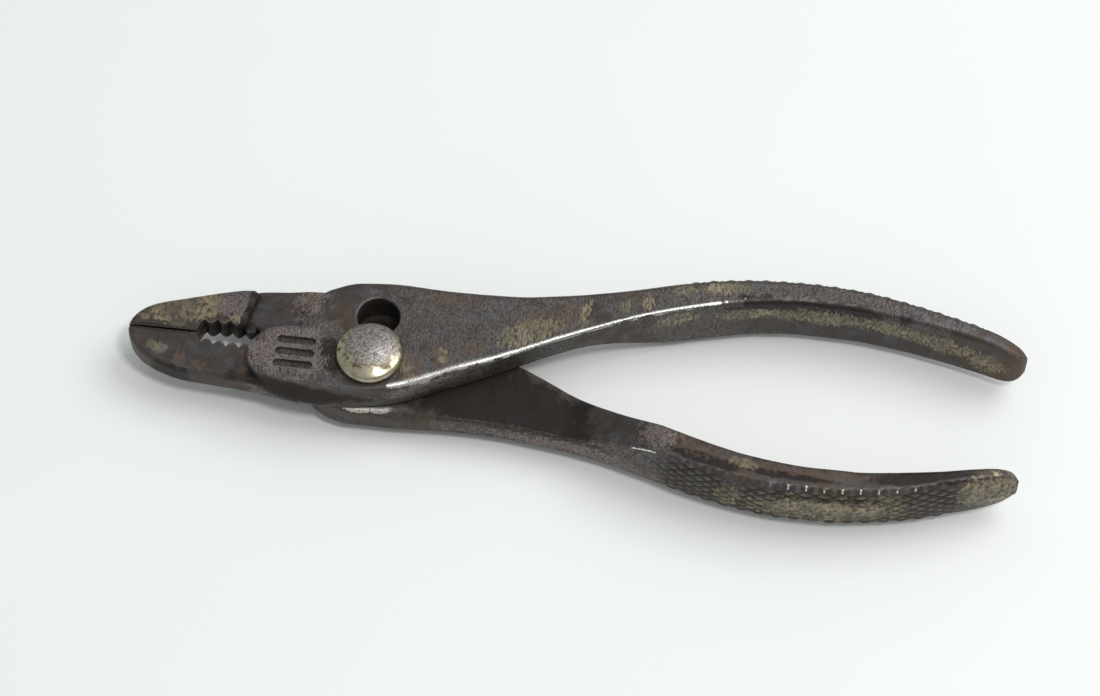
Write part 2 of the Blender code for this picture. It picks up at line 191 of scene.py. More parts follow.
# How far cutters reach past what they cut, how much wider flared ones are there, and how far
# pieces of the bolt sink into each other.
CUTTER_REACH = 6.0
FLARE_REACH = 2.0
FLARE_GROWTH = 0.05
SUNK = 0.2

# Outlines seen from above: few points, joined by smooth curves.
FRONT_OUTER = [
    (-20.5, 0.0), (-20.2, 0.9), (-19.4, 2.2), (-17.7, 3.6), (-15.2, 4.3), (-12.4, 4.7),
    (-11.6, 5.6), (-11.3, 8.4), (-10.2, 10.8), (-7.8, 12.6), (-3.5, 14.2), (3.4, 14.7),
    (12.0, 14.4), (22.0, 14.6), (30.0, 15.6), (40.0, 17.8), (50.0, 20.8), (58.0, 22.6),
    (65.0, 23.4), (72.0, 23.7), (80.0, 23.3), (88.0, 22.0), (96.0, 20.1), (103.0, 18.1),
    (107.0, 16.7), (109.0, 15.8), (110.0, 15.0),
]
FRONT_INNER = [
    (-20.5, -2.4), (-20.2, -3.5), (-18.2, -5.5), (-15.5, -6.9), (-12.0, -7.6), (-8.4, -7.9),
    (-4.0, -7.7), (1.0, -7.0), (5.3, -5.9), (10.0, -3.8), (15.2, -1.3), (20.0, 1.0),
    (24.6, 3.5), (30.0, 6.3), (37.5, 9.8), (44.0, 12.5), (52.0, 15.1), (58.0, 16.6),
    (65.0, 18.0), (72.0, 18.6), (79.0, 18.5), (88.0, 17.6), (96.0, 16.1), (103.0, 14.4),
    (108.3, 12.9), (109.2, 13.1), (110.0, 13.9),
]
REAR_INNER = [
    (-30.0, 8.8), (-25.4, 10.8), (-21.2, 13.3), (-16.2, 13.9), (-12.0, 14.5), (-8.0, 14.6),
    (-4.0, 14.0), (2.0, 12.3), (8.0, 10.2), (16.0, 7.1), (24.6, 4.0), (29.6, 1.7),
    (34.0, -0.5), (40.0, -3.4), (45.2, -5.7), (50.0, -7.3), (54.0, -8.6), (59.0, -10.0),
    (64.2, -11.2), (70.6, -12.1), (76.0, -12.4), (82.0, -12.4), (88.4, -11.8), (96.0, -10.7),
    (102.0, -9.5), (106.0, -8.6), (108.2, -8.3), (109.5, -9.0),
]
REAR_OUTER = [
    (-30.0, 7.8), (-25.4, 7.6), (-22.4, 7.3), (-20.5, 5.9), (-17.0, 3.7), (-13.5, 0.4),
    (-10.9, -3.5), (-9.3, -5.7), (-6.2, -7.5), (-2.8, -8.2), (3.5, -8.2), (10.9, -7.9),
    (17.5, -7.7), (23.8, -8.0), (29.4, -8.6), (35.0, -9.4), (40.7, -10.7), (47.1, -12.7),
    (55.0, -15.1), (63.9, -17.0), (71.0, -17.8), (78.0, -17.8), (84.5, -17.2), (92.0, -15.8),
    (99.6, -13.5), (104.7, -11.9), (108.2, -10.7), (109.5, -10.0),
]
LOWER_JAW_OUTER = [
    (-42.0, 2.2), (-41.6, 0.9), (-40.7, -0.5), (-38.7, -2.3), (-35.5, -3.8), (-31.5, -4.8),
    (-27.7, -5.1), (-22.4, -5.5), (-16.0, -6.3), (-11.6, -7.0),
]
LOWER_JAW_ROOT = [(-19.8, 2.3), (-17.4, 2.6), (-13.5, -0.6), (-11.6, -2.8)]
UPPER_JAW_OUTER = [
    (-42.0, 3.6), (-41.6, 4.8), (-40.7, 6.1), (-39.3, 7.3), (-37.5, 8.2), (-33.4, 9.5),
    (-29.8, 10.6), (-25.4, 11.9), (-23.0, 12.4), (-19.0, 12.6),
]

# The step behind the upper jaw: its line seen from above, and how far its wall slopes out.
STEP_LINE = ((-22.3, 14.0), (-23.7, 3.5))
STEP_FOOT = 1.5
# Where the rear plate grows from the jaw's thickness to its own.
JAW_BLEND_X = (-29.0, -21.5)

# Where rings are set along X, as (x, step to the next stop).
FRONT_ARM_STOPS = [
    (-20.5, 0.15), (-19.4, 0.4), (-12.6, 0.12), (-10.8, 0.5), (50.5, 0.25), (103.5, 0.4),
    (108.2, 0.12), (FRONT_END_X, 1),
]
REAR_ARM_STOPS = [(-30.0, 0.4), (50.0, 0.25), (100.4, 0.4), (107.6, 0.12), (REAR_END_X, 1)]
JAW_STOPS = [(NOSE_X, 0.1), (-40.4, 0.4), (GRIP_X[0], 0.1)]
LOWER_JAW_STOPS = JAW_STOPS + [(GRIP_X[1], 0.4), (LOWER_JAW_END_X, 1)]
UPPER_JAW_STOPS = JAW_STOPS + [(STEP_LINE[0][0] + STEP_FOOT, 1)]

# How round the front half's upper inner edge is worn along its length: (x, radius).
FRONT_EDGE_WEAR = [
    (-20.5, 0.3), (-2.0, 0.35), (1.5, 0.7), (6.5, 1.6), (14.0, 1.7), (20.0, 1.1), (27.0, 0.5),
    (52.0, 0.5), (62.0, 0.9), (110.0, 1.1),
]
# How far that edge lies inside the wall's foot, where the wall slopes: (x, inset).
FRONT_WALL_SLOPE = [
    (-20.5, 0.0), (-19.6, 0.1), (-16.5, 1.2), (-12.0, 1.4), (-7.0, 1.1), (-2.0, 0.7),
    (4.0, 0.15), (8.0, 0.0), (110.0, 0.0),
]
# How round the rear half's upper outer edge is, which shows below the front half: (x, radius).
REAR_EDGE_WEAR = [
    (-30.0, 0.3), (-8.0, 0.4), (-4.0, 0.8), (0.0, 1.25), (3.0, 1.8), (5.4, 2.4), (8.0, 2.4),
    (12.0, 1.0), (16.0, 0.5), (44.0, 0.35), (50.0, 0.6), (62.0, 1.1), (109.5, 1.1),
]


# Curves and sections


def curve_through(points):
    """A smooth curve y(x) through points in order of x, without overshoot."""
    rises = [(b[1] - a[1]) / (b[0] - a[0]) for a, b in zip(points, points[1:])]
    slopes = [rises[0]]
    for before, after in zip(rises, rises[1:]):
        turning = before * after <= 0
        slopes.append(0.0 if turning else 2 * before * after / (before + after))
    slopes.append(rises[-1])

    def at(x):
        i = 0
        while i < len(points) - 2 and x > points[i + 1][0]:
            i += 1
        (xa, ya), (xb, yb) = points[i], points[i + 1]
        span = xb - xa
        t = min(max((x - xa) / span, 0.0), 1.0)
        start = (1 + 2 * t) * (1 - t) ** 2 * ya + t * (1 - t) ** 2 * span * slopes[i]
        end = t * t * (3 - 2 * t) * yb + t * t * (t - 1) * span * slopes[i + 1]
        return start + end

    return at


def ramp(x, start, end):
    """0 before start, 1 after end, and smooth between them. x may be an array."""
    t = np.clip((x - start) / (end - start), 0.0, 1.0)
    return t * t * (3 - 2 * t)


def stations(stops):
    """x values from stop to stop: each stop is (x, step to the next stop)."""
    out = []
    for (x, step), (x_next, _) in zip(stops, stops[1:]):
        count = max(1, round((x_next - x) / step))
        out += [x + (x_next - x) * i / count for i in range(count)]
    return out + [stops[-1][0]]


def tooth_height(x):
    """0 at the bottom of a tooth space and 1 at a tooth's rounded tip."""
    return abs(sin(pi * (x - FIRST_VALLEY_X) / TOOTH_PITCH)) ** TOOTH_POWER


def bite_y(x, side):
    """The jaw's inner face: flat at the nose, then the toothed arch. side is 1 for the
    upper jaw and -1 for the lower one.
    """
    flat = PARTING_Y + side * GAP / 2
    edge, middle = UPPER_ARCH_Y if side > 0 else LOWER_ARCH_Y
    if x < GRIP_X[0]:
        return flat
    along = (x - GRIP_X[0]) / (GRIP_X[1] - GRIP_X[0])
    tips = edge + (middle - edge) * min(1.0, ARCH_PACE * along)
    opening = ramp(x, GRIP_X[0], GRIP_X[0] + GRIP_MOUTH)
    return flat + (tips + side * TOOTH_DEPTH * (1 - tooth_height(x)) - flat) * opening


def section(x, y_range, z_range, radii, crown, cuts):
    """A closed ring of points at x, as an array.

    radii are the corners' at -y-z, +y-z, +y+z and -y+z. crown is how far the -y and +y faces
    swell. cuts is how many parts the -z, +y, +z and -y faces are cut into.
    """
    y_mid, z_mid = sum(y_range) / 2, sum(z_range) / 2
    half_y, half_z = (y_range[1] - y_range[0]) / 2, (z_range[1] - z_range[0]) / 2
    arcs = []
    for turn, radius in enumerate(radii):
        sign_y = 1 if turn in (1, 2) else -1
        sign_z = 1 if turn in (2, 3) else -1
        face_y = half_y - (crown[0] if sign_y < 0 else crown[1])
        r = min(radius, CORNER_LIMIT * face_y, CORNER_LIMIT * half_z)
        angle = pi + turn * pi / 2 + np.linspace(0, pi / 2, ARC_STEPS + 1)
        y = y_mid + sign_y * (face_y - r) + r * np.cos(angle)
        z = z_mid + sign_z * (half_z - r) + r * np.sin(angle)
        arcs.append(np.column_stack((y, z)))
    ring = []
    for turn, arc in enumerate(arcs):
        following = arcs[(turn + 1) % len(arcs)]
        t = np.linspace(0, 1, cuts[turn] + 1)[1:-1, None]
        side = arc[-1] + (following[0] - arc[-1]) * t
        if turn == 1:
            side[:, 0] += crown[1] * (1 - (2 * t[:, 0] - 1) ** 2)
        if turn == 3:
            side[:, 0] -= crown[0] * (1 - (2 * t[:, 0] - 1) ** 2)
        ring += [arc, side]
    ring = np.vstack(ring)
    return np.column_stack((np.full(len(ring), x), ring))


def handle_half_depth(x, which):
    """Half the handle's depth: full along the grip, rounded off at its end."""
    end_x = FRONT_END_X if which == "front" else REAR_END_X
    t = max(0.0, (x - HANDLE_TAPER_X) / (end_x + BLUNT_END - HANDLE_TAPER_X))
    return HANDLE_HALF_DEPTH * sqrt(1 - t ** END_POWERS[which])


def knurl(x, z, which):
    """How far the outer face stands out at x and z: diamonds round a plain panel with a rim."""
    u = (x - KNURL_X[which][0]) / KNURL_PITCH[0]
    v = (z - LAP_Z) / KNURL_PITCH[1]
    rising = 1 - np.abs(2 * ((u + v) % 1) - 1)
    falling = 1 - np.abs(2 * ((u - v) % 1) - 1)
    flank = np.minimum(rising, falling) * KNURL_STEEPNESS
    tooth = np.minimum(flank, KNURL_FLAT) ** KNURL_POWER
    out = KNURL_HEIGHT[0] + (KNURL_HEIGHT[1] - KNURL_HEIGHT[0]) * tooth
    reach = (PANEL_X[1] - PANEL_X[0]) / 2 - PANEL_HALF_HEIGHT
    beyond = np.maximum(np.abs(x - sum(PANEL_X) / 2) - reach, 0.0)
    inside = PANEL_HALF_HEIGHT - np.hypot(beyond, z - LAP_Z)
    rim = RIM_HEIGHT * ramp(inside, *RIM_RISE) * (1 - ramp(inside, *RIM_FALL))
    ditch = KNURL_HEIGHT[0] * (1 - ramp(inside, *PANEL_EDGE))
    out = np.where(inside > -DITCH_WIDTH, ditch, out)
    start, end = KNURL_X[which]
    fade = ramp(x, start, start + KNURL_FADE[0]) * (1 - ramp(x, end - KNURL_FADE[1], end))
    return (out + rim) * fade


def gripped(ring, x, which):
    """Pushes the ring's outer side out and in by the diamond grip."""
    start, end = KNURL_X[which]
    if not start < x < end:
        return ring
    outward = 1 if which == "front" else -1
    tangent = np.roll(ring, -1, 0) - np.roll(ring, 1, 0)
    normal = np.column_stack((np.zeros(len(ring)), tangent[:, 2], -tangent[:, 1]))
    normal /= np.maximum(np.linalg.norm(normal, axis=1, keepdims=True), 1e-9)
    share = ramp(normal[:, 1] * outward, *KNURL_FACING)
    return ring + normal * (share * knurl(x, ring[:, 2], which))[:, None]


def arm_section(x, inner, outer, which, edge_wear, slope=None):
    """One ring of an arm: a flat half-lap plate that grows into a deeper, crowned handle."""
    plate_z = FRONT_PLATE_Z if which == "front" else REAR_PLATE_Z
    grow = ramp(x, *RAMP_X)
    half = handle_half_depth(x, which)
    z_low = plate_z[0] + (LAP_Z - half - plate_z[0]) * grow
    z_high = plate_z[1] + (LAP_Z + half - plate_z[1]) * grow
    lap = LAP_CORNER + (HANDLE_CORNER - LAP_CORNER) * grow
    far = PLATE_CORNER + (HANDLE_CORNER - PLATE_CORNER) * grow
    swell = HANDLE_CROWN * grow
    z_range, cuts = (z_low, z_high), ARM_CUTS[which]
    if which == "front":
        radii = (lap, lap, far, edge_wear(x))
        ring = section(x, (inner(x), outer(x)), z_range, radii, (0.0, swell), cuts)
        across = np.clip((outer(x) - ring[:, 1]) / (outer(x) - inner(x)), 0, 1)
        up = ramp(ring[:, 2], z_low, z_high)
        ring[:, 1] += slope(x) * up * across
    else:
        radii = (far, far, lap, edge_wear(x))
        ring = section(x, (outer(x), inner(x)), z_range, radii, (swell, 0.0), cuts)
    return gripped(ring, x, which)


def jaw_section(x, y_range, bite_up):
    """One ring of a jaw, rounded on the outside and at the nose, sharp along the bite."""
    into_nose = min(1.0, (x - NOSE_X + NOSE_BLUNT) / NOSE_ROUNDING)
    swell = sqrt(1 - (1 - into_nose) ** 2)
    half = JAW_HALF_DEPTH * (NOSE_TIP_DEPTH + (1 - NOSE_TIP_DEPTH) * swell)
    bite, outside = BITE_CORNER, JAW_CORNER
    radii = (outside, bite, bite, outside) if bite_up else (bite, outside, outside, bite)
    return section(x, y_range, (LAP_Z - half, LAP_Z + half), radii, (0.0, 0.0), JAW_CUTS)


# Meshes


def link(name, bm):
    """A new object in the scene, made of a bmesh that is used up."""
    mesh = bpy.data.meshes.new(name)
    bm.to_mesh(mesh)
    bm.free()
    thing = bpy.data.objects.new(name, mesh)
    bpy.context.scene.collection.objects.link(thing)
    return thing


def loft(name, rings, joined=False):
    """A closed body through rings of equal length. joined is for a last ring that meets the first."""
    bm = bmesh.new()
    loops = [[bm.verts.new(Vector(point) * MM) for point in ring] for ring in rings]
    following = loops[1:] + loops[:1] if joined else loops[1:]
    count = len(loops[0])
    for here, there in zip(loops, following):
        for i in range(count):
            j = (i + 1) % count
            bm.faces.new((here[i], here[j], there[j], there[i]))
    if not joined:
        bm.faces.new(loops[0])
        bm.faces.new(loops[-1])
    bmesh.ops.recalc_face_normals(bm, faces=bm.faces)
    return link(name, bm)


def prism(name, outline, z_range):
    """An outline seen from above, pulled up from z_range[0] to z_range[1]."""
    return loft(name, [[(x, y, z) for x, y in outline] for z in z_range])


def flared(name, outline_at, z_low, z_face, round_off):
    """A cutter that leaves a rounded rim where it comes out at z_face.

    outline_at(grow) gives the outline grown by that much.
    """
    rings = [[(x, y, z_low) for x, y in outline_at(0.0)]]
    for step in range(ARC_STEPS + 1):
        angle = pi / 2 * step / ARC_STEPS
        z = z_face - round_off + round_off * sin(angle)
        rings.append([(x, y, z) for x, y in outline_at(round_off * (1 - cos(angle)))])
    rings.append([(x, y, z_face + FLARE_REACH) for x, y in outline_at(round_off + FLARE_GROWTH)])
    return loft(name, rings)


def turned(name, profile):
    """A solid of revolution about the bolt's axis. profile is (radius, z) from the base up."""
    return loft(name, [[(x, y, z) for x, y in circle_outline(radius)] for radius, z in profile])


def combine(thing, other, operation):
    """Applies a Boolean with other, which is used up."""
    step = thing.modifiers.new(operation.lower(), "BOOLEAN")
    step.operation = operation
    step.object = other
    step.solver = "EXACT"
    graph = bpy.context.evaluated_depsgraph_get()
    result = bpy.data.meshes.new_from_object(thing.evaluated_get(graph))
    thing.modifiers.clear()
    thing.data = result
    bpy.data.objects.remove(other, do_unlink=True)


def vertex_arrays(mesh):
    """The mesh's points and normals in millimetres, and its edges, as arrays."""
    points = np.zeros(len(mesh.vertices) * 3)
    mesh.vertices.foreach_get("co", points)
    normals = np.zeros(len(mesh.vertices) * 3)
    mesh.vertices.foreach_get("normal", normals)
    edges = np.zeros(len(mesh.edges) * 2, int)
    mesh.edges.foreach_get("vertices", edges)
    return points.reshape(-1, 3) / MM, normals.reshape(-1, 3), edges.reshape(-1, 2)


def weathered(thing, wave, dent):
    """Gives the surface slow forging waves, small dents and pits, in the geometry itself."""
    points, normals, _ = vertex_arrays(thing.data)
    depth = np.zeros(len(points))
    for i, point in enumerate(points):
        slow = noise.noise(Vector(point) / WAVE_SIZE)
        quick = noise.noise(Vector(point) / DENT_SIZE + DENT_OFFSET)
        pit = max(0.0, noise.noise(Vector(point) / PIT_SIZE + PIT_OFFSET) - PIT_LEVEL)
        depth[i] = wave * slow + dent * quick - PIT_DEPTH * dent * pit
    points += normals * depth[:, None]
    thing.data.vertices.foreach_set("co", (points * MM).ravel())
    thing.data.update()


def mark_edges(thing):
    """Stores how sharply the surface bends at each point as 'bend', in 1/mm.

    It is above 0 on an edge and below 0 in a crevice. A point counts twice when it is averaged
    with its neighbours.
    """
    points, normals, edges = vertex_arrays(thing.data)
    span = points[edges[:, 1]] - points[edges[:, 0]]
    length2 = np.maximum((span**2).sum(1), SHORTEST_EDGE**2)
    bend = np.zeros(len(points))
    count = np.zeros(len(points))
    for end, sign in ((0, -1.0), (1, 1.0)):
        at = edges[:, end]
        np.add.at(bend, at, sign * (normals[at] * span).sum(1) / length2 * 2)
        np.add.at(count, at, 1)
    bend = np.clip(bend / np.maximum(count, 1), -BEND_LIMIT, BEND_LIMIT)
    for _ in range(BEND_PASSES):
        total = bend * 2
        share = np.full(len(points), 2.0)
        np.add.at(total, edges[:, 0], bend[edges[:, 1]])
        np.add.at(total, edges[:, 1], bend[edges[:, 0]])
        np.add.at(share, edges[:, 0], 1)
        np.add.at(share, edges[:, 1], 1)
        bend = total / share
    store = thing.data.attributes.new("bend", "FLOAT", "POINT")
    store.data.foreach_set("value", bend.astype(np.float32))


def finished(thing, body, node, look, sharp=32.0):
    """Shades the piece, sets it on the CAD body that it rides on and hides the node it stands for.

    Where faces meet at more than sharp degrees, the edge between them isn't smoothed.
    """
    thing.data.shade_smooth()
    thing.data.set_sharp_from_angle(angle=radians(sharp))
    mark_edges(thing)
    thing.data.materials.clear()
    thing.data.materials.append(look)
    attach(thing, body)
    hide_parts(node)
    return thing


# Outlines of the cuts


def slot_outline(grow):
    """The figure-eight slot: two round holes joined by a straight neck."""
    end = Vector(SLOT_END)
    along = end.normalized()
    across = Vector((-along.y, along.x))
    radius, neck = HOLE_RADIUS + grow, SLOT_NECK_HALF_WIDTH + grow
    lean = pi / 2 - Vector((neck, sqrt(radius**2 - neck**2))).angle(Vector((1, 0)))
    sweep = tau - 2 * lean
    points = []
    for centre, facing in ((Vector((0, 0)), 1), (end, -1)):
        for i in range(ROUND_SIDES + 1):
            angle = lean + sweep * i / ROUND_SIDES
            offset = across * sin(angle) + along * cos(angle)
            points.append(centre + facing * radius * offset)
    return [(p.x, p.y) for p in points]


def circle_outline(radius):
    """A circle round the bolt's axis."""
    angles = [tau * i / ROUND_SIDES for i in range(ROUND_SIDES)]
    return [(radius * cos(a), radius * sin(a)) for a in angles]


def stadium_outline(centre, size):
    """A slot with round ends, its length along X."""
    radius = size[1] / 2
    reach = size[0] / 2 - radius
    steps = ROUND_SIDES // 8
    points = []
    for side, start in ((1, -pi / 2), (-1, pi / 2)):
        for i in range(steps + 1):
            angle = start + pi * i / steps
            x = centre[0] + side * reach + radius * cos(angle)
            points.append((x, centre[1] + radius * sin(angle)))
    return points


def shank_outline():
    """The bolt's shank where it crosses the slot: round, with two flats along the slot."""
    flat = SLOT_NECK_HALF_WIDTH - RUNNING_CLEARANCE
    along = Vector(SLOT_END).normalized()
    across = Vector((along.y, -along.x))
    reach = acos(flat / SHANK_RADIUS)
    steps = ROUND_SIDES // 2
    points = []
    for side in (1, -1):
        for i in range(steps + 1):
            angle = reach + (pi - 2 * reach) * i / steps
            offset = across * cos(angle) + along * sin(angle)
            points.append(side * SHANK_RADIUS * offset)
    return [(p.x, p.y) for p in points]


# The four pieces


def lower_jaw():
    """The lower jaw, whose root runs back into the front plate."""
    outer, root = curve_through(LOWER_JAW_OUTER), curve_through(LOWER_JAW_ROOT)
    rings = []
    for x in stations(LOWER_JAW_STOPS):
        top = bite_y(x, -1) if x < GRIP_X[1] else root(x)
        rings.append(jaw_section(x, (outer(x), top), True))
    return loft("jaw", rings)


def pressed_slot(row):
    """The cutter of one of the three pressed slots. row is -1, 0 or 1."""
    centre = (PRESSED_SLOT_CENTRE[0], PRESSED_SLOT_CENTRE[1] + row * PRESSED_SLOT_SPACING)

    def outline(grow):
        return stadium_outline(centre, (PRESSED_SLOT_SIZE[0] + 2 * grow, PRESSED_SLOT_SIZE[1] + 2 * grow))

    floor_z = FRONT_PLATE_Z[1] - PRESSED_SLOT_DEPTH
    return flared("pressed", outline, floor_z, FRONT_PLATE_Z[1], PRESSED_SLOT_RIM)


def front_half():
    """The upper arm with the lower jaw, the figure-eight slot and the pressed slots."""
    outer, inner = curve_through(FRONT_OUTER), curve_through(FRONT_INNER)
    worn, slope = curve_through(FRONT_EDGE_WEAR), curve_through(FRONT_WALL_SLOPE)
    xs = stations(FRONT_ARM_STOPS)
    half = loft("FrontHalf", [arm_section(x, inner, outer, "front", worn, slope) for x in xs])
    combine(half, lower_jaw(), "UNION")
    below = FRONT_PLATE_Z[0] - FLARE_REACH
    combine(half, flared("slot", slot_outline, below, FRONT_PLATE_Z[1], SLOT_RIM), "DIFFERENCE")
    for row in (-1, 0, 1):
        combine(half, pressed_slot(row), "DIFFERENCE")
    weathered(half, *HALF_MARKS)
    return half


def upper_jaw():
    """The upper jaw, cut off at the step, whose wall slopes out between its rim and its foot."""
    outer = curve_through(UPPER_JAW_OUTER)
    xs = stations(UPPER_JAW_STOPS)
    jaw = loft("jaw", [jaw_section(x, (bite_y(x, 1), outer(x)), False) for x in xs])
    (top_x, top_y), (low_x, low_y) = STEP_LINE
    far_x = top_x + CUTTER_REACH
    foot_z, rim_z = REAR_PLATE_Z[1] - GAP / 2, LAP_Z + JAW_HALF_DEPTH
    rings = []
    for z in (foot_z, LAP_Z + CUTTER_REACH):
        foot = STEP_FOOT * (rim_z - z) / (rim_z - foot_z)
        line = [(top_x + foot, top_y, z), (low_x + foot / 2, low_y, z)]
        rings.append(line + [(far_x, low_y, z), (far_x, top_y, z)])
    combine(jaw, loft("step", rings), "DIFFERENCE")
    return jaw


def rear_half():
    """The lower arm with the upper jaw and the round hole. Its plate is thinner at the jaw."""
    outer, inner = curve_through(REAR_OUTER), curve_through(REAR_INNER)
    worn = curve_through(REAR_EDGE_WEAR)
    rings = []
    for x in stations(REAR_ARM_STOPS):
        ring = arm_section(x, inner, outer, "rear", worn)
        lift = (1 - ramp(x, *JAW_BLEND_X)) * (LAP_Z - JAW_HALF_DEPTH + GAP - REAR_PLATE_Z[0])
        squeeze = 1 - lift / PLATE_THICKNESS
        ring[:, 2] = REAR_PLATE_Z[1] - (REAR_PLATE_Z[1] - ring[:, 2]) * squeeze
        rings.append(ring)
    half = loft("RearHalf", rings)
    combine(half, upper_jaw(), "UNION")
    through = (REAR_PLATE_Z[0] - CUTTER_REACH, REAR_PLATE_Z[1] + CUTTER_REACH)
    combine(half, prism("hole", circle_outline(HOLE_RADIUS), through), "DIFFERENCE")
    weathered(half, *HALF_MARKS)
    return half


def bolt_head():
    """The bolt's head: a small undercut, a rounded shoulder and the dome."""
    centre_z = HEAD_BASE_Z + HEAD_HEIGHT - HEAD_CURVE
    shoulder_r = HEAD_RADIUS - HEAD_SHOULDER
    lean = asin(shoulder_r / (HEAD_CURVE - HEAD_SHOULDER))
    shoulder_z = centre_z + (HEAD_CURVE - HEAD_SHOULDER) * cos(lean)
    profile = [(HEAD_RADIUS - HEAD_UNDERCUT, HEAD_BASE_Z), (HEAD_RADIUS, HEAD_BASE_Z + HEAD_UNDERCUT)]
    for step in range(2 * ARC_STEPS + 1):
        angle = (pi / 2 - lean) * step / (2 * ARC_STEPS)
        radius = shoulder_r + HEAD_SHOULDER * cos(angle)
        profile.append((radius, shoulder_z + HEAD_SHOULDER * sin(angle)))
    for step in range(1, DOME_STEPS):
        angle = lean * (1 - step / DOME_STEPS)
        profile.append((HEAD_CURVE * sin(angle), centre_z + HEAD_CURVE * cos(angle)))
    return turned("PivotBolt", profile)


def pivot_bolt():
    """The head, the flatted shank in the slot, and the round journal with the threaded end."""
    bolt = bolt_head()
    combine(bolt, prism("shank", shank_outline(), (LAP_Z - SUNK, HEAD_BASE_Z + SUNK)), "UNION")
    journal_radius = HOLE_RADIUS - RUNNING_CLEARANCE
    journal = [
        (THREAD_RADIUS - THREAD_CHAMFER, 0.0), (THREAD_RADIUS, THREAD_CHAMFER),
        (THREAD_RADIUS, REAR_PLATE_Z[0]), (journal_radius, REAR_PLATE_Z[0] + SUNK),
        (journal_radius, LAP_Z),
    ]
    combine(bolt, turned("journal", journal), "UNION")
    weathered(bolt, *BOLT_MARKS)
    return bolt


def pivot_nut():
    """A thin round nut with its outer and inner edges rolled over."""
    outer_r, inner_r = NUT_RADIUS - NUT_EDGE, NUT_HOLE_RADIUS + NUT_EDGE
    low_z, high_z = NUT_EDGE, NUT_THICKNESS - NUT_EDGE
    corners = [(outer_r, low_z), (outer_r, high_z), (inner_r, high_z), (inner_r, low_z)]
    profile = []
    for turn, (corner_r, corner_z) in enumerate(corners):
        for step in range(ARC_STEPS + 1):
            angle = (turn - 1) * pi / 2 + pi / 2 * step / ARC_STEPS
            profile.append((corner_r + NUT_EDGE * cos(angle), corner_z + NUT_EDGE * sin(angle)))
    rings = []
    for i in range(ROUND_SIDES):
        angle = tau * i / ROUND_SIDES
        rings.append([(r * cos(angle), r * sin(angle), z) for r, z in profile])
    nut = loft("PivotNut", rings, joined=True)
    weathered(nut, *NUT_MARKS)
    return nut


# Materials


def tone(red, green, blue):
    """A display colour from 0 to 255 as the linear colour that shaders use."""
    def linear(value):
        share = value / 255
        return share / 12.92 if share <= 0.04045 else ((share + 0.055) / 1.055) ** 2.4

    return (linear(red), linear(green), linear(blue), 1.0)


DARK_STEEL = tone(77, 71, 69)
WARM_STEEL = tone(86, 75, 67)
COOL_STEEL = tone(86, 85, 87)
PALE_STEEL = tone(124, 119, 117)
PALE_PINK = tone(142, 130, 128)
NICKEL = tone(166, 154, 130)
OLIVE_NICKEL = tone(121, 113, 91)
KNURL_TAN = tone(128, 108, 82)
RUST = tone(104, 80, 60)
SOOT = tone(36, 31, 29)
# Near white: the painted highlight on bright edges and tips.
HIGHLIGHT_WHITE = tone(226, 225, 218)
DOME_DARK = tone(108, 102, 98)
DOME_PALE = tone(194, 190, 188)
DOME_GOLD = tone(140, 118, 86)
RIM_NICKEL = tone(188, 181, 158)
RIM_OLIVE = tone(156, 146, 120)
BORDER_BROWN = tone(86, 70, 52)
NUT_DARK = tone(78, 70, 66)
NUT_PALE = tone(132, 126, 120)

# Where a patch starts and where it is full, from 0 at its ellipsoid's rim to 1 in the middle.
PATCH_RIM = (0.05, 0.35)
# The half depth of a place that goes right through the tool.
THROUGH = 40.0
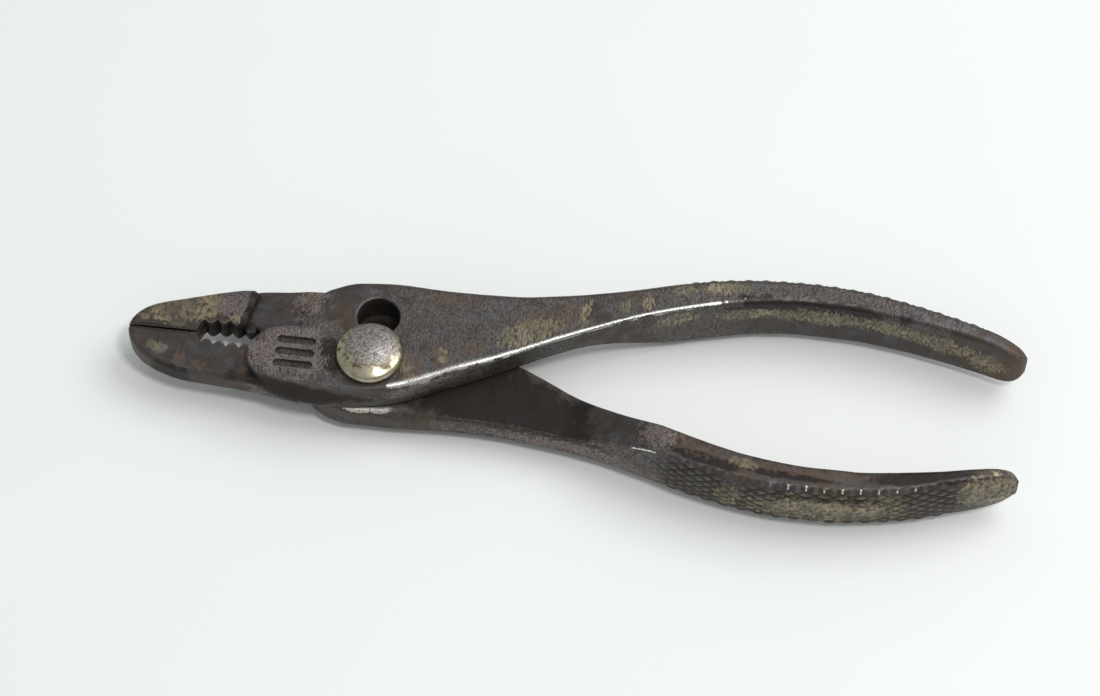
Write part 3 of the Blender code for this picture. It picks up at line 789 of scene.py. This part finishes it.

# What is where on the two halves, as ellipsoids: (x, y, long, wide, angle) goes right through,
# and (x, y, z, long, wide, high, angle) stays on one face or edge. grain is rough and glittering,
# except where smooth is. dark is darker: painted shade where it is marked so below, and elsewhere a
# darker tone. pale is worn, and nickel is what is left of the plate. grip is the diamond grip and
# panel the plain part in it. The polished places are smoother edges with a painted highlight, and
# glints are painted highlights on the grip's worn tips.
FRONT_PLACES = {
    "grain": [(-12, 0, 12, 10, 0), (18, 8, 24, 14, 8), (60, 20, 28, 10, 14), (86, 20, 18, 4, -12)],
    "smooth": [
        (-31, 0, 11.5, 8, 0), (82, 17.4, 6.6, 34, 2.6, 5.6, -3),
        (-12, -7.4, 9.8, 18, 5, 2.8, -6),
    ],
    # Painted shade along the jaws' parting line (-36.4, 2.6), in the slot's hole (0.4, 7.7) and in the
    # pressed slots (-12.7, -0.8). The others darken the tone.
    "dark": [
        (-36.4, 2.6, 9.7, 7, 0.55, 1.4, -1), (-36, -4.6, 9, 1.5, -12),
        (-12, -7.4, 9.8, 16, 4, 2.4, -6), (25.5, 1.6, 5, 9, 3.4, 3.6, 0),
        (72, 18.2, 11.8, 24, 2.4, 1.8, 0), (0.4, 7.7, 9.5, 4.6, 4.6, 4.2, 0),
        (-12.7, -0.8, 11.4, 4.4, 4.2, 1, 0), (-14, 4, 9, 6, 3, 2.6, 0),
        (-6.5, -0.5, 13, 2.6, 5, 1.2, 20),
    ],
    "pale": [
        (-35.9, -1.2, 1.3, 1.1, 0), (-19.4, -6.4, 2.6, 0.8, -10), (-14.5, -1, 12.7, 8.4, 7, 1.1, 0),
        (-10.6, 9.6, 12.5, 1.8, 3.4, 1.6, -20), (12, -3.4, 10.4, 12, 2.6, 1.7, 25),
    ],
    "rust": [
        (-32.2, -2.3, 1.3, 2, 0), (-29, -3.4, 1.8, 0.9, 0), (-21.3, -2.4, 1, 3.4, 0),
        (11.8, 1.4, 2, 3.6, 10), (6.8, -1.4, 2.6, 2.8, 0), (17, 3.6, 3.6, 1.8, 25),
        (30, 10.6, 6, 2.6, 25), (13, 12.4, 6, 1.6, 0), (107.5, 14, 3.4, 4, 0),
    ],
    "nickel": [
        (26, 7.6, 6.5, 2.7, 25), (35.3, 12.6, 1.2, 2.8, -15), (41.7, 14.6, 1, 1.2, 0),
        (45.3, 15.5, 1.4, 2.2, 0), (51.4, 18.7, 2.2, 1.2, 10), (57.6, 19.9, 4.4, 1.4, 8),
        (6.6, -2.2, 1.3, 2.8, 20), (103.4, 14.2, 6.5, 4, 3.4, 3, -22),
        (50.5, 14.8, 10, 4.2, 3, 2.2, 15), (64, 17.5, 9.4, 8, 4, 1.8, 5),
        (76, 18.2, 8.8, 8, 4, 2.6, 0), (86.5, 17.5, 8.8, 7, 4, 2.4, -8),
        (96, 15.8, 8, 7, 4, 2.6, -12), (-37, -0.6, 1.6, 1, -20),
        (12.2, 1.4, 1, 1.8, 10),
    ],
    "grip": [(56, 22, 7.4, 12, 4, 7, 10), (80, 23, 7.4, 20, 4, 7, 0), (98, 19, 7.4, 8, 4, 7, -15)],
    "panel": [(78.5, 23.6, 7.4, 13, 4, 4, 0)],
    # Painted highlights: the band along the front plate's rounded inner edge and the thin line along the
    # handle's edge, where the edge is also smoother.
    "polished_highlight": [
        (12.1, -2.7, 13.1, 15, 4, 1.3, 25), (30.5, 6.7, 12.9, 18, 2.6, 1, 27),
        (48.5, 14, 13.35, 14.5, 2.4, 0.8, 17),
    ],
    "glint": [],
}
REAR_PLACES = {
    "grain": [
        (-10.5, 12, 4, 5, 0), (49.5, -9, 4.5, 5, 0),
        (30, -9.8, 4.4, 26, 3.4, 3.3, -8), (43.5, -11.7, 6.2, 9, 3, 6.4, -15),
    ],
    "smooth": [
        (85, -13.5, 12.9, 25, 3.5, 2, 2), (-18.5, 9, 6.5, 9, 0), (20, -3, 22, 6, -10),
    ],
    # Painted shade along the jaws' parting line (-35.5, 3.2), on the arm beside the front half's edge (20,
    # -2.8), in the hole (0, 0) and on the plate seen through the slot (0.4, 7.2). The others darken the
    # tone.
    "dark": [
        (-35.5, 3.2, 9.6, 8, 0.5, 2, -1), (58, -13.3, 8, 1.2, -14),
        (72, -14.8, 9, 0.9, -4), (103.8, -13.6, 1.4, 1.4, 0),
        (-25.2, 5, 6.2, 7, 2.4, 3.4, 4), (-21, 4, 7.4, 3.4, 3, 3.4, 0),
        (20, -2.8, 7.6, 26, 8.5, 2.4, -14), (0, 0, 4.6, 9, 9, 2.6, 0),
        (0.4, 7.2, 7.3, 4.8, 4.4, 1.2, 0), (94, -12.6, 12.9, 12, 1.6, 1.6, 10),
    ],
    "pale": [
        (-25, 8.8, 9.75, 4.2, 3.8, 1.2, 10), (-11.3, 11.5, 3.9, 4.8, 20),
        (49.8, -8.8, 4.6, 3, -20), (35, -10.6, 4.6, 19, 3.2, 2.8, -8),
    ],
    "rust": [
        (-21.4, 9.2, 8.4, 1.5, 5, 1.2, -8), (-28.8, 9.6, 2.4, 1.6, 10), (-29.6, 6.6, 2.2, 1.6, 0),
        (56.5, -11, 5.6, 1.8, -15), (62, -12, 4.6, 1.5, -12), (75, -13.2, 12, 1.6, 0),
        (-37.6, 5.2, 3, 1.2, 0), (-12.4, 12.8, 2, 1.6, 0),
    ],
    "nickel": [
        (-34.7, 7.1, 5.9, 3.4, 14), (-30.6, 8, 4.4, 3.4, 15), (-24.6, 6.2, 1.4, 1, 0),
        (64, -13.3, 2.6, 1, -12), (62, -16.4, 7.4, 2.6, 2, 4, 0),
        (76, -17.6, 7, 12, 3, 5, 0), (87, -16.6, 8, 6, 3, 4.4, 0),
        (101.8, -12.6, 9.5, 2.6, 2.4, 4.4, 0), (105.8, -11, 9, 4.6, 3.4, 6, 0),
    ],
    "grip": [
        (56, -15.4, 7.4, 9, 4, 7, -14), (78, -17.6, 7.4, 20, 4, 7, 0), (95, -15, 7.4, 9, 4, 7, 12),
    ],
    "panel": [(78.5, -17.6, 7.4, 13, 4, 4, 0)],
    # Painted highlights: the crescent on the rear plate's rounded edge below the front half, and two short
    # strokes along the arm's upper edge, where the edge is also smoother.
    "polished_highlight": [
        (0.7, -7.2, 7.4, 6.2, 2.2, 1, 8), (47.4, -12.6, 12.1, 4.2, 0.7, 1.8, -17),
        (37.8, -10.2, 8.3, 2.8, 0.45, 0.7, -12),
    ],
    # Painted highlights on the grip's worn tips along the rear handle's upper edge.
    "glint": [
        (75, -16.8, 12.8, 6, 0.8, 0.7, 0), (84, -16.4, 12.8, 7, 0.8, 0.7, 6),
        (92, -15.2, 12.7, 5, 0.8, 0.7, 12),
    ],
}


class Look:
    """A material made of nodes. Most methods add nodes and return what comes out of them."""

    def __init__(self, name):
        self.material = bpy.data.materials.new(name)
        self.material.use_nodes = True
        self.tree = self.material.node_tree
        self.surface = self.tree.nodes["Principled BSDF"]
        here = self.add("ShaderNodeTexCoord", {}).outputs["Object"]
        inputs = {0: here, 1: (1 / MM, 1 / MM, 1 / MM)}
        self.place = self.add("ShaderNodeVectorMath", inputs, operation="MULTIPLY").outputs["Vector"]

    def add(self, kind, inputs, **settings):
        """A node with these settings, and with a value or another node's output in each input."""
        node = self.tree.nodes.new(kind)
        for key, value in settings.items():
            setattr(node, key, value)
        for key, value in inputs.items():
            self.plug(node.inputs[key], value)
        return node

    def plug(self, socket, value):
        if isinstance(value, bpy.types.NodeSocket):
            self.tree.links.new(value, socket)
        else:
            socket.default_value = value

    def give(self, name, value):
        """Sets an input of the surface."""
        self.plug(self.surface.inputs[name], value)

    def math(self, operation, a, b):
        return self.add("ShaderNodeMath", {0: a, 1: b}, operation=operation).outputs[0]

    def plus(self, a, b):
        return self.math("ADD", a, b)

    def minus(self, a, b):
        return self.math("SUBTRACT", a, b)

    def times(self, a, b):
        return self.math("MULTIPLY", a, b)

    def squeezed(self, ratio):
        """The place for textures whose grains are ratio times as long along X."""
        inputs = {"Vector": self.place, "Scale": (ratio, 1.0, 1.0)}
        return self.add("ShaderNodeMapping", inputs, vector_type="TEXTURE").outputs[0]

    def noise(self, size, detail, seed, place=None, rough=0.55):
        """Noise from 0 to 1 whose grains are about size across."""
        inputs = {"Vector": place or self.place, "W": seed, "Scale": 1 / size, "Detail": detail}
        inputs["Roughness"] = rough
        return self.add("ShaderNodeTexNoise", inputs, noise_dimensions="4D").outputs[0]

    def step(self, value, low, high, out_low=0.0, out_high=1.0):
        """out_low below low, out_high above high, and smooth between them."""
        inputs = {"Value": value, "From Min": low, "From Max": high, "To Min": out_low, "To Max": out_high}
        return self.add("ShaderNodeMapRange", inputs, interpolation_type="SMOOTHSTEP").outputs[0]

    def mix(self, share, a, b):
        """Colour a where share is 0 and colour b where it is 1."""
        return self.add("ShaderNodeMix", {0: share, 6: a, 7: b}, data_type="RGBA").outputs[2]

    def tint(self, base, colour, share, most):
        """base, turned towards colour by share, and by most where share is 1."""
        return self.mix(self.times(share, most), base, colour)

    def blend(self, share, a, b):
        """Number a where share is 0 and number b where it is 1."""
        return self.add("ShaderNodeMix", {0: share, 2: a, 3: b}, data_type="FLOAT").outputs[0]

    def patch(self, ragged, centre, radii, angle=0.0):
        """1 in the middle of an ellipsoid. ragged, below and above 0, breaks up its rim."""
        inputs = {"Vector": self.place, "Location": centre, "Scale": radii}
        inputs["Rotation"] = (0.0, 0.0, radians(angle))
        placed = self.add("ShaderNodeMapping", inputs, vector_type="TEXTURE").outputs[0]
        out = self.add("ShaderNodeVectorMath", {0: placed}, operation="LENGTH").outputs["Value"]
        return self.step(self.plus(self.minus(1.0, out), ragged), *PATCH_RIM)

    def patches(self, ragged, places):
        """The most that any of the places gives."""
        most = 0.0
        for place in places:
            if len(place) == 5:
                x, y, long, wide, angle = place
                z, high = LAP_Z, THROUGH
            else:
                x, y, z, long, wide, high, angle = place
            most = self.math("MAXIMUM", most, self.patch(ragged, (x, y, z), (long, wide, high), angle))
        return most

    def place_parts(self):
        return self.add("ShaderNodeSeparateXYZ", {0: self.place}).outputs

    def diamonds(self, start_x):
        """0 in the grooves of the diamond grip and 1 on its tips."""
        x, _, z = self.place_parts()
        along = self.math("DIVIDE", self.minus(x, start_x), KNURL_PITCH[0] / 2)
        up = self.math("DIVIDE", self.minus(z, LAP_Z), KNURL_PITCH[1] / 2)
        rising = self.math("PINGPONG", self.plus(along, up), 1.0)
        falling = self.math("PINGPONG", self.minus(along, up), 1.0)
        return self.math("MINIMUM", rising, falling)

    def pulses(self, start_x, pitch, width):
        """1 in narrow bands across X, one every pitch from start_x."""
        along = self.math("DIVIDE", self.minus(self.place_parts()[0], start_x), pitch / 2)
        return self.step(self.math("PINGPONG", along, 1.0), 0.0, width / pitch, 1.0, 0.0)

    def bend(self):
        """How sharply the surface bends, as mark_edges stores it."""
        return self.add("ShaderNodeAttribute", {}, attribute_name="bend").outputs["Fac"]

    def relief(self, height, depth):
        """Raises the surface by depth millimetres for each 1 of height."""
        inputs = {"Strength": 1.0, "Distance": depth * MM, "Height": height}
        self.give("Normal", self.add("ShaderNodeBump", inputs).outputs[0])


class Steel(Look):
    """Old forged steel, cloudy brown and grey, with the marks that its places give it.

    start_x is where its diamond grip starts. The smaller squeeze is, the more its grains are
    drawn out along Y.
    """

    def __init__(self, name, places, start_x, squeeze, seed):
        super().__init__(name)
        self.places = places
        self.cloud = self.noise(7.0, 4.0, seed)
        self.stain = self.noise(2.4, 5.0, seed + 1)
        squeezed = self.squeezed(squeeze)
        grain = self.noise(0.36, 2.0, seed + 2, place=squeezed, rough=0.6)
        self.fleck = self.noise(1.0, 4.0, seed + 3, place=squeezed, rough=0.7)
        fine = self.noise(0.16, 2.0, seed + 4, rough=0.6)
        self.speck = self.plus(self.times(grain, 0.6), self.times(fine, 0.4))

        # How ragged the rims of the patches are: a little, or in flakes.
        self.soft = self.times(self.minus(self.stain, 0.5), 1.5)
        flakes = self.plus(self.times(self.fleck, 2.0), self.times(self.stain, 1.6))
        self.torn = self.minus(flakes, 1.8)

        self.find_marks()
        self.find_edges()
        base = self.bare()
        base = self.marked(base)
        base = self.gripped(base, start_x)
        self.give("Base Color", self.worn(base))
        self.set_finish()

    def at(self, kind, ragged):
        """Where this kind of place is."""
        return self.patches(ragged, self.places[kind])

    def find_marks(self):
        """Where it is rough, and where nickel and rust are."""
        smooth = self.at("smooth", self.soft)
        self.grainy = self.times(self.at("grain", self.soft), self.minus(1.0, smooth))
        flecked = self.step(self.fleck, 0.4, 0.56, 0.1, 1.0)
        kept = self.times(flecked, self.step(self.speck, 0.36, 0.5, 0.5, 1.0))
        self.rust = self.times(self.at("rust", self.torn), kept)
        self.nickel = self.times(self.at("nickel", self.torn), kept)

    def find_edges(self):
        """Where edges are worn, and where crevices get painted shade and edges a painted highlight."""
        bend = self.bend()
        # Painted shade in crevices, where the surface bends inward.
        self.crevice = self.step(bend, -0.7, -0.15, 1.0, 0.0)
        self.edge = self.times(self.step(bend, 0.25, 0.9), self.step(self.speck, 0.4, 0.6))
        # Painted highlights: on the polished places, and on the glint tips one every grip pitch.
        shine = self.plus(self.at("polished_highlight", self.soft), self.times(self.speck, 2.0))
        shine = self.times(self.step(shine, 1.45, 1.9), self.step(bend, 0.12, 0.4))
        shine = self.times(shine, self.step(self.speck, 0.38, 0.5, 0.15, 1.0))
        tips = self.pulses(GLINT_X, KNURL_PITCH[0], GLINT_WIDTH)
        self.shine = self.math("MAXIMUM", shine, self.times(self.at("glint", self.soft), tips))

    def bare(self):
        """The steel's own colour: clouds and stains, glitter where it is rough, and dark pits."""
        base = self.mix(self.step(self.cloud, 0.38, 0.62), DARK_STEEL, WARM_STEEL)
        base = self.mix(self.step(self.stain, 0.42, 0.66), base, COOL_STEEL)
        glitter = self.times(self.step(self.speck, 0.42, 0.64), self.step(self.fleck, 0.36, 0.6, 0.45, 1.0))
        base = self.tint(base, PALE_STEEL, self.grainy, glitter)
        pits = self.step(self.speck, 0.36, 0.5, 1.0, 0.0)
        base = self.tint(base, SOOT, pits, self.blend(self.grainy, 0.15, 0.5))
        return self.mix(self.step(self.fleck, 0.36, 0.52, 0.3, 0.0), base, SOOT)

    def marked(self, base):
        """Dark stains and painted shade, pale worn spots, rust and nickel over the steel."""
        # Darker tone, and painted shade where the dark places say so.
        base = self.tint(base, SOOT, self.at("dark", self.soft), 0.8)
        pale = self.times(self.at("pale", self.torn), self.step(self.speck, 0.42, 0.56))
        base = self.tint(base, PALE_PINK, pale, 0.8)
        base = self.tint(base, RUST, self.rust, 0.5)
        plate = self.mix(self.step(self.stain, 0.35, 0.65), NICKEL, OLIVE_NICKEL)
        return self.tint(base, plate, self.nickel, 0.85)

    def gripped(self, base, start_x):
        """Tan worn tips with a painted highlight, and painted shade in the diamond grip's grooves."""
        grip = self.times(self.at("grip", 0.0), self.minus(1.0, self.at("panel", 0.0)))
        tips = self.diamonds(start_x)
        # The tips: their tan worn colour, lit up as a painted highlight.
        tan = self.times(self.step(tips, 0.45, 0.8), self.step(self.fleck, 0.4, 0.58))
        base = self.tint(base, KNURL_TAN, self.times(grip, tan), 0.65)
        # Painted shade in the grooves.
        groove = self.times(grip, self.step(tips, 0.05, 0.4, 1.0, 0.0))
        return self.tint(base, SOOT, groove, 0.65)

    def worn(self, base):
        """Paler worn edges, painted shade in crevices and a painted highlight where it shines."""
        base = self.tint(base, PALE_STEEL, self.edge, 0.3)
        # Painted shade in crevices.
        base = self.tint(base, SOOT, self.crevice, 0.6)
        # The painted highlight.
        return self.tint(base, HIGHLIGHT_WHITE, self.shine, 0.85)

    def set_finish(self):
        """How rough, metallic and pitted the surface is."""
        rough = self.step(self.speck, 0.35, 0.65, 0.6, 0.42)
        rough = self.blend(self.times(self.nickel, 0.8), rough, 0.38)
        rough = self.blend(self.rust, rough, 0.7)
        rough = self.blend(self.times(self.edge, 0.5), rough, 0.38)
        self.give("Roughness", self.blend(self.shine, rough, 0.27))
        metallic = self.blend(self.math("MAXIMUM", self.nickel, self.shine), 0.78, 1.0)
        self.give("Metallic", self.minus(metallic, self.times(self.rust, 0.3)))
        height = self.times(self.speck, self.blend(self.grainy, 0.35, 1.0))
        height = self.plus(height, self.times(self.fleck, 0.7))
        self.relief(self.plus(height, self.times(self.nickel, 0.3)), 0.05)


def front_metal():
    """The front half: long grains, and nickel left along its handle."""
    return Steel("front_worn_steel", FRONT_PLACES, KNURL_X["front"][0], 0.4, 3.0).material


def rear_metal():
    """The rear half: nickel left on its jaw and handle, and painted highlights on the grip's tips."""
    return Steel("rear_worn_steel", REAR_PLACES, KNURL_X["rear"][0], 0.8, 11.0).material


def bolt_metal():
    """The bolt: nickel kept round the rim of its head, speckled grey and gold in the middle."""
    look = Look("bolt_worn_nickel")
    grain = look.noise(0.32, 3.0, 21.0, rough=0.7)
    stain = look.noise(1.3, 5.0, 22.0, rough=0.65)
    ragged = look.times(look.minus(stain, 0.5), 1.1)
    middle = look.patch(ragged, (0.2, 0.95, 15.0), (5.8, 5.5, THROUGH))
    border = look.times(middle, look.minus(1.0, middle))
    border = look.times(border, look.step(stain, 0.4, 0.6, 1.5, 3.5))
    speckled = look.mix(look.step(grain, 0.36, 0.64), DOME_DARK, DOME_PALE)
    gold = look.times(look.step(stain, 0.48, 0.62), look.step(grain, 0.4, 0.55))
    speckled = look.tint(speckled, DOME_GOLD, gold, 0.55)
    rim = look.mix(look.step(stain, 0.35, 0.7), RIM_NICKEL, RIM_OLIVE)
    base = look.mix(middle, rim, speckled)
    look.give("Base Color", look.mix(look.math("MINIMUM", border, 0.8), base, BORDER_BROWN))
    look.give("Roughness", look.blend(middle, 0.3, look.step(grain, 0.3, 0.7, 0.6, 0.45)))
    look.give("Metallic", 1.0)
    look.relief(look.times(grain, look.blend(middle, 0.12, 1.0)), 0.04)
    return look.material


def nut_metal():
    """The nut: dark turned steel with rust in its pores."""
    look = Look("nut_worn_steel")
    grain = look.noise(0.3, 3.0, 31.0, rough=0.7)
    stain = look.noise(1.8, 4.0, 32.0)
    base = look.mix(look.step(grain, 0.35, 0.65), NUT_DARK, NUT_PALE)
    rust = look.step(stain, 0.54, 0.66)
    base = look.tint(base, RUST, rust, 0.7)
    edge = look.step(look.bend(), 0.4, 1.2)
    look.give("Base Color", look.tint(base, PALE_STEEL, edge, 0.5))
    look.give("Roughness", look.blend(rust, look.step(grain, 0.3, 0.7, 0.52, 0.36), 0.75))
    look.give("Metallic", look.step(rust, 0.0, 1.0, 0.95, 0.3))
    look.relief(look.plus(grain, stain), 0.035)
    return look.material


# The studio, with distances in metres and angles in degrees


FLOOR_SIZE = 3.0
FLOOR_TONES = ((0.86, 0.88, 0.87, 1.0), (0.90, 0.915, 0.905, 1.0))
FLOOR_CLOUDS = 60.0
# How far the floor lies below the CAD in millimetres, so that no dent of the metal goes through.
FLOOR_GAP = 0.05

# Each light's name, the direction it shines from, its distance, width, power and colour.
LIGHTS = [
    ("Main", (0.5, 0.27, 0.82), 0.85, 0.65, 3.1, (0.99, 1.0, 1.0)),
    ("Key", (0.29, -0.27, 0.92), 0.9, 0.15, 2.3, (1.0, 0.99, 0.97)),
]
LIGHT_TARGET = Vector((30, 4, 8)) * MM
WORLD_COLOUR = (0.97, 1.0, 0.99, 1.0)
WORLD_STRENGTH = 0.48

CAMERA_TARGET = Vector((29.5, 8.0, 7.5)) * MM
CAMERA_AZIMUTH = 6.8
CAMERA_ELEVATION = 59.5
CAMERA_DISTANCE = 0.52
SENSOR_WIDTH = 36.0
FOCAL_LENGTH = 100.07


def floor():
    """A plain pale floor under the tool."""
    bm = bmesh.new()
    bmesh.ops.create_grid(bm, x_segments=1, y_segments=1, size=FLOOR_SIZE)
    ground = link("Floor", bm)
    ground.location.z = CAD_BOX[0].z - FLOOR_GAP * MM
    look = Look("pale_floor")
    look.give("Base Color", look.mix(look.noise(FLOOR_CLOUDS, 3.0, 41.0), *FLOOR_TONES))
    look.give("Roughness", 0.7)
    look.give("Specular IOR Level", 0.2)
    ground.data.materials.append(look.material)


def aim(thing, target):
    """Turns a light or camera to look at the target."""
    thing.rotation_mode = "QUATERNION"
    thing.rotation_quaternion = (thing.location - target).to_track_quat("Z", "Y")


def area_light(name, direction, distance, size, power, colour):
    """A round soft light that looks at the middle of the tool from a direction."""
    lamp = bpy.data.lights.new(name, "AREA")
    lamp.shape = "DISK"
    lamp.size = size
    lamp.energy = power
    lamp.color = colour
    thing = bpy.data.objects.new(name, lamp)
    bpy.context.scene.collection.objects.link(thing)
    thing.location = LIGHT_TARGET + Vector(direction).normalized() * distance
    aim(thing, LIGHT_TARGET)


def lights():
    for settings in LIGHTS:
        area_light(*settings)
    world = bpy.data.worlds.new("Studio")
    world.use_nodes = True
    background = world.node_tree.nodes["Background"]
    background.inputs["Color"].default_value = WORLD_COLOUR
    background.inputs["Strength"].default_value = WORLD_STRENGTH
    bpy.context.scene.world = world
    bpy.context.scene.view_settings.view_transform = "Standard"


def camera():
    """Looks down at the tool from the -Y side, as it is seen lying on a table."""
    lens = bpy.data.cameras.new("Camera")
    lens.sensor_fit = "HORIZONTAL"
    lens.sensor_width = SENSOR_WIDTH
    lens.lens = FOCAL_LENGTH
    lens.clip_start = 0.01
    eye = bpy.data.objects.new("Camera", lens)
    bpy.context.scene.collection.objects.link(eye)
    azimuth, elevation = radians(CAMERA_AZIMUTH), radians(CAMERA_ELEVATION)
    back = Vector((sin(azimuth) * cos(elevation), -cos(azimuth) * cos(elevation), sin(elevation)))
    eye.location = CAMERA_TARGET + back * CAMERA_DISTANCE
    aim(eye, CAMERA_TARGET)
    bpy.context.scene.camera = eye


camera()
lights()
floor()
finished(front_half(), "front", "front_half", front_metal())
finished(rear_half(), "rear", "rear_half", rear_metal())
finished(pivot_bolt(), "pivot", "pivot_bolt", bolt_metal(), sharp=40.0)
finished(pivot_nut(), "pivot", "pivot_nut", nut_metal(), sharp=60.0)
